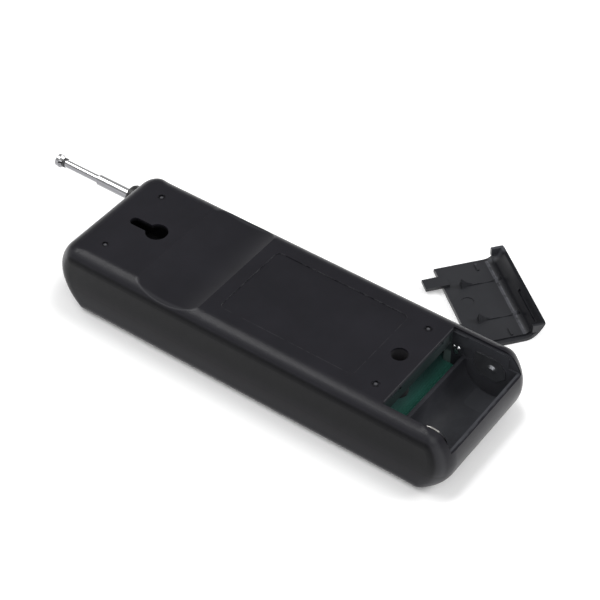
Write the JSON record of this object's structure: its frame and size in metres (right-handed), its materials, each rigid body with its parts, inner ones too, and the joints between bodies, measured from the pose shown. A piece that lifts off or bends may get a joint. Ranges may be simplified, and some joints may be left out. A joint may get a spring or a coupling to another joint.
{
  "type": "handheld frequency counter",
  "caption": "Slim handheld frequency counter lying on its front, with a telescopic antenna, a hanging slot, and its battery door lifted off beside the empty cell bay.",
  "frame": {"origin": "on the flat front face, which rests on the table, midway between the case's sides and ends", "axes": "+Y along the case towards the antenna end, +Z out of the back panel, +X to the antenna's side"},
  "size_m": [0.1441, 0.2597, 0.0346],
  "materials": {
    "back_case": "satin",
    "front_case": "satin",
    "battery_door": "satin",
    "display_window": "gloss",
    "lcd_glass": "gloss",
    "lcd_bezel": "matt",
    "lcd_backlight": "satin",
    "lcd_strips": "matt",
    "main_board": "satin solder mask",
    "screws": "zinc plated",
    "keys": "matt",
    "plungers": "matt",
    "switches": "matt",
    "gate_lamp": "gloss",
    "antenna_metal": "bright plated",
    "antenna_ring": "satin",
    "antenna_collar": "satin",
    "antenna_bracket": "tinned",
    "contacts": "nickel plated",
    "red_wire": "satin",
    "black_wire": "satin",
    "chips": "matt",
    "cans": "tinned",
    "capacitors": "sleeved",
    "power_coil": "ferrite",
    "trimmer": "bright"
  },
  "bodies": {
    "case": {"back_case": "back_case", "front_case": "front_case", "display_window": "display_window", "lcd_glass": "lcd_glass", "lcd_bezel": "lcd_bezel", "lcd_backlight": "lcd_backlight", "lcd_strip_upper": "lcd_strips", "lcd_strip_lower": "lcd_strips", "main_board": "main_board", "board_screw_top_left": "screws", "board_screw_top_right": "screws", "board_screw_low_left": "screws", "board_screw_low_right": "screws", "antenna_screw": "screws", "case_screw": "screws", "switch_one": "switches", "switch_two": "switches", "switch_three": "switches", "switch_four": "switches", "gate_lamp": "gate_lamp", "antenna_sleeve": "antenna_metal", "antenna_collar": "antenna_collar", "antenna_bracket": "antenna_bracket", "plate_contact": "contacts", "spring_contact": "contacts", "red_lead": "red_wire", "black_lead": "black_wire", "antenna_lead": "black_wire", "main_chip": "chips", "regulator_chip": "chips", "shield_can": "cans", "crystal": "cans", "large_capacitor": "capacitors", "small_capacitor": "capacitors", "power_coil": "power_coil", "trimmer": "trimmer"},
    "door": {"battery_door": "battery_door"},
    "key_one_body": {"key_one": "keys", "plunger_one": "plungers"},
    "key_two_body": {"key_two": "keys", "plunger_two": "plungers"},
    "key_three_body": {"key_three": "keys", "plunger_three": "plungers"},
    "key_four_body": {"key_four": "keys", "plunger_four": "plungers"},
    "antenna_one": {"antenna_section_one": "antenna_metal"},
    "antenna_two": {"antenna_section_two": "antenna_metal", "antenna_ring": "antenna_ring"},
    "antenna_three": {"antenna_section_three": "antenna_metal"},
    "antenna_four": {"antenna_rod": "antenna_metal"}
  },
  "joints": [
    {"name": "door_lift", "type": "slide", "parent": "case", "child": "door", "axis": [0, 0, 1], "range_m": [0, 0.06]},
    {"name": "key_one_press", "type": "slide", "parent": "case", "child": "key_one_body", "axis": [0, 0, 1], "range_m": [0, 0.0008], "stiffness_N_per_m": 1500, "springref_m": -0.0004},
    {"name": "key_two_press", "type": "slide", "parent": "case", "child": "key_two_body", "axis": [0, 0, 1], "range_m": [0, 0.0008], "stiffness_N_per_m": 1500, "springref_m": -0.0004},
    {"name": "key_three_press", "type": "slide", "parent": "case", "child": "key_three_body", "axis": [0, 0, 1], "range_m": [0, 0.0008], "stiffness_N_per_m": 1500, "springref_m": -0.0004},
    {"name": "key_four_press", "type": "slide", "parent": "case", "child": "key_four_body", "axis": [0, 0, 1], "range_m": [0, 0.0008], "stiffness_N_per_m": 1500, "springref_m": -0.0004},
    {"name": "antenna_one_slide", "type": "slide", "parent": "case", "child": "antenna_one", "axis": [0, 1, 0], "range_m": [-0.021, 0.056]},
    {"name": "antenna_two_slide", "type": "slide", "parent": "antenna_one", "child": "antenna_two", "axis": [0, 1, 0], "range_m": [-0.021, 0.055]},
    {"name": "antenna_three_slide", "type": "slide", "parent": "antenna_two", "child": "antenna_three", "axis": [0, 1, 0], "range_m": [0, 0.076]},
    {"name": "antenna_four_slide", "type": "slide", "parent": "antenna_three", "child": "antenna_four", "axis": [0, 1, 0], "range_m": [0, 0.074]}
  ]
}
